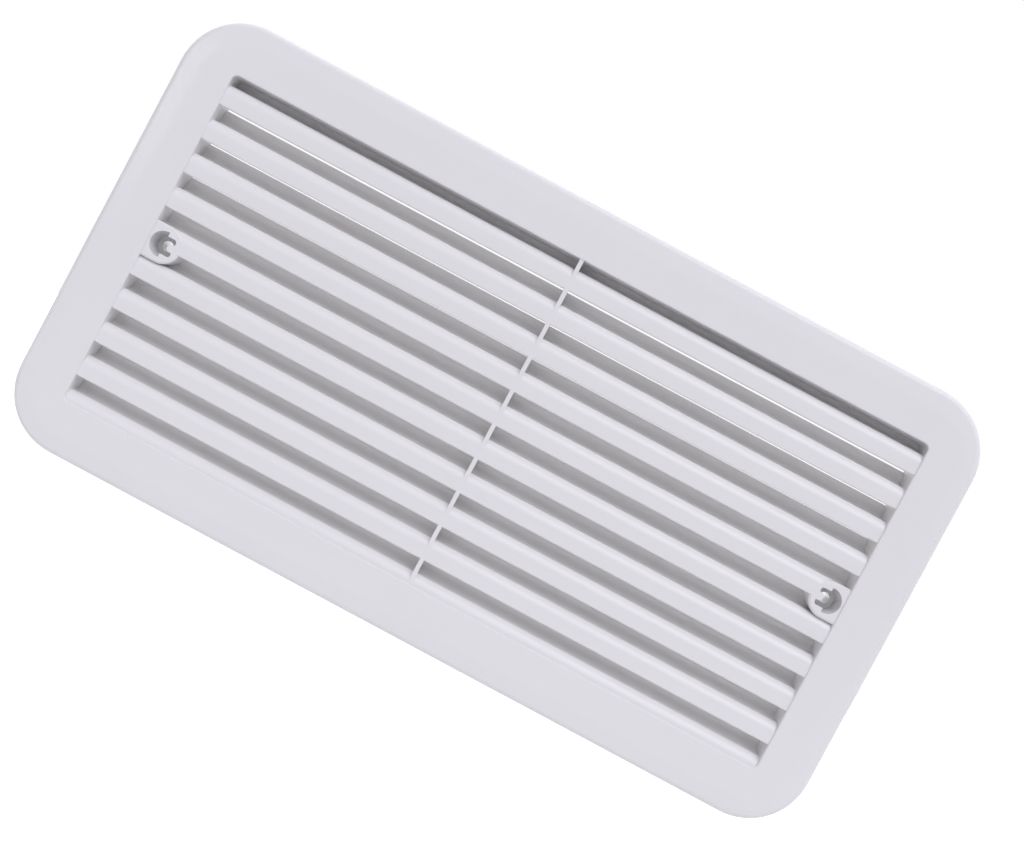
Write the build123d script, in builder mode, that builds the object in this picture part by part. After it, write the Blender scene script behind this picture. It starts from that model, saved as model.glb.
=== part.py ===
from build123d import *
from math import radians, tan
import os

# Louvred ventilation grille: a wall cover moulded in one piece of white plastic.
# X runs along the slats and Z is up. The front faces -Y, and the wall plane is Y = 0.

# Cover, in millimetres
length = 260.0
height = 138.6
depth = 14.0  # wall plane to front face
wall = 2.0  # outer rim, and the four walls round the louvres
skin = 2.2  # front face
border = 16.0  # face width between the outer rim and the louvres
crown_width = 6.0  # band along the outer edge that slopes back to the rim
crown_drop = 0.5
crown_blend = 20.0
rim_round = 1.8
outer_corner = 19.3
opening_corner = 1.8
opening_bevel = 0.3
draft = 3.5  # degrees, on the walls round the louvres

# Louvres: a front land, a web that rises to the back, and an upstand that stops rain and sight
slat_count = 9
slat_height = 6.5
slat_wall = 2.0
slat_round = 3.0
head_gap = 3.3  # opening above the first slat
sill_height = 3.4  # face of the part slat that stands on the lower border
land_recess = 0.5  # lands lie this far behind the front face
web_rise = 0.45  # land to upstand
web_round = 2.6  # web to upstand
upstand_setback = 8.2  # land to upstand, front to front
upstand_wall = 2.0
tip_bevel = 1.2  # height of the slope on the front of an upstand's tip
tip_wall = 1.1  # thickness left at the tip
edge_round = 0.4  # lower front edge of a slat

# Rib that ties the slats at mid-length, flush with their lands
rib_width = 1.3

# Screw posts, one at each end of the louvres
post_inset = 4.6  # screw centre to the end wall of the louvres
post_radius = 5.7
post_bevel = 0.5
socket_radius = 3.95
socket_step = 0.4  # the round part of the socket runs this far past its centre
socket_floor = 7.0
socket_draft = 8.0  # degrees, on the round part
neck_width = 5.5
neck_reach = 3.4  # from the socket's centre towards mid-length
neck_round = 0.9
nib_width = 2.5
nib_length = 1.8
nib_thickness = 1.5
screw_hole = 3.2  # diameter, clears a 3 mm screw

# Derived places
opening_length = length - 2 * border
opening_height = height - 2 * border
opening_top = opening_height / 2
slat_pitch = (opening_height - head_gap - sill_height) / slat_count
slat_gap = slat_pitch - slat_height
bite = wall / 2  # how far slats, rib and posts run into the walls that carry them
first_top = opening_top - head_gap
sill_top = sill_height - opening_top
land_front = depth - land_recess  # distances from the wall plane
upstand_back = land_front - upstand_setback - upstand_wall
wall_depth = depth - upstand_back  # walls round the louvres end level with the upstands
post_x = opening_length / 2 - post_inset
socket_depth = land_front - socket_floor
nib_tip = post_x - neck_reach + nib_length

land_plane = Plane.XZ.offset(land_front)


def slat_section(bottom, top, tip):
    """Section of a slat across its length, from its lower edge to the tip of its upstand."""
    land = -land_front
    land_back = land + slat_wall
    upstand = land + upstand_setback
    back = -upstand_back
    underside = top - slat_wall
    corners = [
        (land, bottom),
        (land, top),
        (upstand, top + web_rise),
        (upstand, tip - tip_bevel),
        (back - tip_wall, tip),
        (back, tip),
        (back, underside + web_rise),
        (land_back, underside),
        (land_back, bottom),
    ]
    inner_round = max(slat_round - slat_wall, 0)
    bend = min(web_round, tip - tip_bevel - top - web_rise)  # ends below the slope on the tip
    rounds = [edge_round, slat_round, bend, 0, 0, 0, bend + slat_wall, inner_round, 0]
    with BuildSketch(Plane.YZ) as section:
        with BuildLine():
            FilletPolyline(*corners, radius=rounds, close=True)
        make_face()
    return section.sketch


def ring(half_length, half_height, corner):
    """Closed path round the middle of the grille, in the wall plane."""
    with BuildLine(Plane.XZ) as path:
        FilletPolyline(
            (half_length, 0),
            (half_length, half_height),
            (-half_length, half_height),
            (-half_length, -half_height),
            (half_length, -half_height),
            radius=[0, corner, corner, corner, corner],
            close=True,
        )
    return path.line


# Cover: a shallow tray, open to the wall, from its outer rim to the walls round the louvres
with BuildPart() as cover:
    half_length = length / 2
    plate_edge = opening_length / 2 + wall
    corners = [
        (half_length, 0),
        (half_length, crown_drop - depth),
        (half_length - crown_width, -depth),
        (plate_edge, -depth),
        (plate_edge, skin - depth),
        (half_length - wall, skin - depth),
        (half_length - wall, 0),
    ]
    rounds = [0, rim_round, crown_blend, 0, 0, 0, 0]
    with BuildSketch(Plane.XY):
        with BuildLine():
            FilletPolyline(*corners, radius=rounds, close=True)
        make_face()
    sweep(path=ring(half_length, height / 2, outer_corner))

# Walls round the louvres, with a bevel at the front
with BuildPart() as opening:
    half_opening = opening_length / 2
    with BuildSketch(Plane.XY):
        with BuildLine():
            Polyline(
                (half_opening + wall, -depth),
                (half_opening + opening_bevel, -depth),
                (half_opening, opening_bevel - depth),
                (half_opening - wall_depth * tan(radians(draft)), wall_depth - depth),
                (half_opening + wall, wall_depth - depth),
                close=True,
            )
        make_face()
    sweep(path=ring(half_opening, opening_top, opening_corner))

# Louvres: full slats, the part slat on the sill, and the rib that ties them
with BuildPart() as louvres:
    reach = opening_length / 2 + bite
    for number in range(slat_count):
        slat_top = first_top - number * slat_pitch
        slat_tip = slat_top + slat_gap  # level with the lower edge of the slat above
        if number == 0:
            slat_tip = opening_top + bite
        extrude(slat_section(slat_top - slat_height, slat_top, slat_tip), amount=reach, both=True)
    extrude(slat_section(-opening_top - bite, sill_top, sill_top + slat_gap), amount=reach, both=True)
    with BuildSketch(land_plane):
        Rectangle(rib_width, opening_height + 2 * bite)
    extrude(amount=upstand_back - land_front)

# Screw post at the right-hand end: a round nose on a block that runs into the end wall
with BuildPart() as post:
    with BuildSketch(land_plane):
        with Locations((post_x, 0)):
            Circle(post_radius)
            Rectangle(
                opening_length / 2 + bite - post_x,
                2 * post_radius,
                align=(Align.MIN, Align.CENTER),
            )
    extrude(amount=-land_front)
    chamfer(faces().sort_by(Axis.Y)[0].edges(), post_bevel)

# Socket that sinks the screw head: round towards the end wall, a neck towards mid-length
with BuildPart() as socket:
    with BuildSketch(land_plane):
        with Locations((post_x, 0)):
            Circle(socket_radius)
    extrude(amount=-socket_depth, taper=socket_draft)
    with BuildSketch(land_plane):
        with Locations((post_x - socket_step, 0)):
            Rectangle(socket_radius, 2 * socket_radius, align=(Align.MAX, Align.CENTER))
    extrude(amount=-socket_depth, mode=Mode.SUBTRACT)
    with BuildSketch(land_plane):
        with Locations((post_x, 0)):
            Rectangle(neck_reach, neck_width, align=(Align.MAX, Align.CENTER))
        fillet(vertices().group_by(Axis.X)[0], neck_round)
    extrude(amount=-socket_depth)
    with BuildSketch(Plane.XZ):
        with Locations((post_x, 0)):
            Circle(screw_hole / 2)
    extrude(amount=land_front)

# Nib across the neck that keeps the screw from falling out
with BuildPart() as nib:
    with BuildSketch(land_plane):
        with Locations((nib_tip - nib_width / 2, 0)):
            Circle(nib_width / 2)
            Rectangle(nib_length, nib_width, align=(Align.MAX, Align.CENTER))
    extrude(amount=-nib_thickness)

# The moulding, with a post at each end
with BuildPart() as grille:
    add(cover.part)
    add(opening.part)
    add(louvres.part)
    add(post.part)
    add(mirror(post.part, about=Plane.YZ, mode=Mode.PRIVATE))
    add(socket.part, mode=Mode.SUBTRACT)
    add(mirror(socket.part, about=Plane.YZ, mode=Mode.PRIVATE), mode=Mode.SUBTRACT)
    add(nib.part)
    add(mirror(nib.part, about=Plane.YZ, mode=Mode.PRIVATE))

os.makedirs("parts", exist_ok=True)
grille.part.label = "grille"
export_step(grille.part, "parts/grille.step")
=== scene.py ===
"""Looks of a louvred ventilation grille: satin white plastic under soft studio light."""

from math import radians

import bpy
from mathutils import Matrix, Vector

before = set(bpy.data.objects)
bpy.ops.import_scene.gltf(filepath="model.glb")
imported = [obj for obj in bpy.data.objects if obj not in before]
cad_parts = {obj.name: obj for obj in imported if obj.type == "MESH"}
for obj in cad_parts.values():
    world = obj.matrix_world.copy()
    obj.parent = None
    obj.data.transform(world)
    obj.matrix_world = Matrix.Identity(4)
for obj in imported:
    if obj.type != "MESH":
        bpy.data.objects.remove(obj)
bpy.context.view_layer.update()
scene = bpy.context.scene
scene.view_settings.view_transform = "Standard"

# Camera: where the photograph was taken from, in metres in the grille's own frame
CAMERA_PLACE = (0.00452, -0.44222, 0.01191)
CAMERA_AIM = (0.00407, -0.01400, 0.00261)
CAMERA_ROLL = 28.15  # degrees
CAMERA_NEAR = 0.01
SENSOR_WIDTH = 36.0  # millimetres, like the lens
LENS = 52.03

# Light from all round, by direction. A span is the part of an axis where one light turns into the next.
ROOM_LIGHT = (0.10, 0.10, 0.10, 1.0)
SKY_LIGHT = (1.13, 1.131, 1.243, 1.0)
SKY_SPAN = (0.1, 0.55)  # Z, room to sky
SIDE_LIGHT = (0.15, 0.15, 0.15, 1.0)
SIDE_SPAN = (-0.95, -0.5)  # X, dark left side to the rest
BACK_LIGHT = (1.75, 1.75, 1.75, 1.0)
BACK_SPAN = (0.3, 0.7)  # Y, front to back
WHITE = (1.0, 1.0, 1.0, 1.0)

# Soft boxes: a key light high on the right, and a window on the left that shines along the left edge
LAMP_COLOUR = (1.0, 1.003, 1.073)
KEY_PLACE = (0.80, -1.60, 1.95)
KEY_SIZE = 1.8
KEY_POWER = 23.2
WINDOW_PLACE = (-1.13, -1.98, 0.26)
WINDOW_SIZE = 0.5
WINDOW_POWER = 2.1

# Floor
FLOOR_HEIGHT = -0.30
FLOOR_SIZE = 6.0
FLOOR_PAINT = (0.68, 0.68, 0.68, 1.0)
FLOOR_GLOW = (0.85, 0.85, 0.85, 1.0)  # lifts the paint to white where the floor is seen

# Plastic, with noise scales in cycles per metre
PLASTIC = (0.730, 0.7175, 0.7175, 1.0)
PLASTIC_SHADE = (0.713, 0.701, 0.701, 1.0)
PLASTIC_SPECULAR = 0.35
MOTTLE_SCALE = 45.0
MOTTLE_DETAIL = 3.0
SHEEN_SCALE = 160.0
SHEEN_DETAIL = 4.0
SHEEN_ROUGHNESS = (0.15, 0.25)
GRAIN_SCALE = 2600.0
GRAIN_DETAIL = 2.0
GRAIN_STRENGTH = 0.06
GRAIN_DEPTH = 0.0002


def add_camera():
    """The photograph's camera, rolled about its own axis."""
    data = bpy.data.cameras.new("camera")
    data.sensor_fit = "HORIZONTAL"
    data.sensor_width = SENSOR_WIDTH
    data.lens = LENS
    data.clip_start = CAMERA_NEAR
    camera = bpy.data.objects.new("camera", data)
    view = Vector(CAMERA_AIM) - Vector(CAMERA_PLACE)
    turn = view.to_track_quat("-Z", "Y").to_matrix().to_4x4()
    roll = Matrix.Rotation(radians(CAMERA_ROLL), 4, "Z")
    camera.matrix_world = Matrix.Translation(CAMERA_PLACE) @ turn @ roll
    scene.collection.objects.link(camera)
    scene.camera = camera


def add_soft_box(name, place, size, power):
    """A square lamp that faces the grille."""
    data = bpy.data.lights.new(name, "AREA")
    data.shape = "SQUARE"
    data.size = size
    data.energy = power
    data.color = LAMP_COLOUR
    lamp = bpy.data.objects.new(name, data)
    lamp.location = place
    lamp.rotation_euler = (-Vector(place)).to_track_quat("-Z", "Y").to_euler()
    scene.collection.objects.link(lamp)


def larger(nodes, links, first, second):
    """A socket with the larger of two values."""
    node = nodes.new("ShaderNodeMath")
    node.operation = "MAXIMUM"
    links.new(first, node.inputs[0])
    links.new(second, node.inputs[1])
    return node.outputs[0]


def seen_directly(nodes, links):
    """A socket that is 1 for camera, glossy and transmission rays, and 0 for the rays that light things."""
    rays = nodes.new("ShaderNodeLightPath").outputs
    mirrored = larger(nodes, links, rays["Is Camera Ray"], rays["Is Glossy Ray"])
    return larger(nodes, links, mirrored, rays["Is Transmission Ray"])


def mix_colours(nodes, links, share, low, high):
    """A colour socket that goes from low to high, each a colour or a socket, as share goes from 0 to 1."""
    mix = nodes.new("ShaderNodeMix")
    mix.data_type = "RGBA"
    links.new(share, mix.inputs["Factor"])
    for name, colour in (("A", low), ("B", high)):
        if isinstance(colour, tuple):
            mix.inputs[name].default_value = colour
        else:
            links.new(colour, mix.inputs[name])
    return mix.outputs["Result"]


def blend_across(nodes, links, value, span, low, high):
    """A colour socket that goes smoothly from low to high as value crosses span."""
    share = nodes.new("ShaderNodeMapRange")
    share.interpolation_type = "SMOOTHSTEP"
    links.new(value, share.inputs["Value"])
    share.inputs["From Min"].default_value, share.inputs["From Max"].default_value = span
    return mix_colours(nodes, links, share.outputs["Result"], low, high)


def add_world():
    """A dim room under a bright sky, dark on the left and bright behind, and white wherever it is seen."""
    world = bpy.data.worlds.new("studio")
    world.use_nodes = True
    nodes = world.node_tree.nodes
    links = world.node_tree.links
    nodes.clear()
    direction = nodes.new("ShaderNodeSeparateXYZ")
    links.new(nodes.new("ShaderNodeTexCoord").outputs["Generated"], direction.inputs[0])
    axis = direction.outputs
    light = blend_across(nodes, links, axis["Z"], SKY_SPAN, ROOM_LIGHT, SKY_LIGHT)
    light = blend_across(nodes, links, axis["X"], SIDE_SPAN, SIDE_LIGHT, light)
    light = blend_across(nodes, links, axis["Y"], BACK_SPAN, light, BACK_LIGHT)
    ambient = nodes.new("ShaderNodeBackground")
    links.new(light, ambient.inputs["Color"])
    backdrop = nodes.new("ShaderNodeBackground")
    backdrop.inputs["Color"].default_value = WHITE
    mix = nodes.new("ShaderNodeMixShader")
    output = nodes.new("ShaderNodeOutputWorld")
    links.new(seen_directly(nodes, links), mix.inputs["Fac"])
    links.new(ambient.outputs[0], mix.inputs[1])
    links.new(backdrop.outputs[0], mix.inputs[2])
    links.new(mix.outputs[0], output.inputs["Surface"])
    scene.world = world


def floor_paint():
    """White paint that is dull to light things by and white to look at."""
    material = bpy.data.materials.new("floor_white")
    material.use_nodes = True
    nodes = material.node_tree.nodes
    links = material.node_tree.links
    nodes.clear()
    paint = nodes.new("ShaderNodeBsdfDiffuse")
    paint.inputs["Color"].default_value = FLOOR_PAINT
    glow = nodes.new("ShaderNodeEmission")
    glow.inputs["Color"].default_value = FLOOR_GLOW
    links.new(seen_directly(nodes, links), glow.inputs["Strength"])
    both = nodes.new("ShaderNodeAddShader")
    output = nodes.new("ShaderNodeOutputMaterial")
    links.new(paint.outputs[0], both.inputs[0])
    links.new(glow.outputs[0], both.inputs[1])
    links.new(both.outputs[0], output.inputs["Surface"])
    return material


def add_floor():
    """A white floor below the grille, which keeps its shadow."""
    half = FLOOR_SIZE / 2
    mesh = bpy.data.meshes.new("floor")
    corners = [(-half, -half, 0), (half, -half, 0), (half, half, 0), (-half, half, 0)]
    mesh.from_pydata(corners, [], [(0, 1, 2, 3)])
    mesh.materials.append(floor_paint())
    floor = bpy.data.objects.new("floor", mesh)
    floor.location = (0, 0, FLOOR_HEIGHT)
    scene.collection.objects.link(floor)


def noise(nodes, links, place, scale, detail):
    """A noise socket on a place in metres."""
    texture = nodes.new("ShaderNodeTexNoise")
    texture.inputs["Scale"].default_value = scale
    texture.inputs["Detail"].default_value = detail
    links.new(place, texture.inputs["Vector"])
    return texture.outputs["Fac"]


def white_plastic():
    """Moulded white plastic: faint flow mottle, an uneven sheen and a fine grain."""
    material = bpy.data.materials.new("white_plastic_satin")
    material.use_nodes = True
    nodes = material.node_tree.nodes
    links = material.node_tree.links
    shader = nodes["Principled BSDF"]
    shader.inputs["Specular IOR Level"].default_value = PLASTIC_SPECULAR
    place = nodes.new("ShaderNodeTexCoord").outputs["Object"]

    mottle = noise(nodes, links, place, MOTTLE_SCALE, MOTTLE_DETAIL)
    tint = mix_colours(nodes, links, mottle, PLASTIC_SHADE, PLASTIC)
    links.new(tint, shader.inputs["Base Color"])

    sheen = nodes.new("ShaderNodeMapRange")
    links.new(noise(nodes, links, place, SHEEN_SCALE, SHEEN_DETAIL), sheen.inputs["Value"])
    sheen.inputs["To Min"].default_value, sheen.inputs["To Max"].default_value = SHEEN_ROUGHNESS
    links.new(sheen.outputs["Result"], shader.inputs["Roughness"])

    grain = nodes.new("ShaderNodeBump")
    links.new(noise(nodes, links, place, GRAIN_SCALE, GRAIN_DETAIL), grain.inputs["Height"])
    grain.inputs["Strength"].default_value = GRAIN_STRENGTH
    grain.inputs["Distance"].default_value = GRAIN_DEPTH
    links.new(grain.outputs["Normal"], shader.inputs["Normal"])
    return material


add_camera()
add_world()
add_floor()
add_soft_box("key", KEY_PLACE, KEY_SIZE, KEY_POWER)
add_soft_box("window", WINDOW_PLACE, WINDOW_SIZE, WINDOW_POWER)

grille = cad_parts["grille"]
grille.material_slots[0].material = white_plastic()
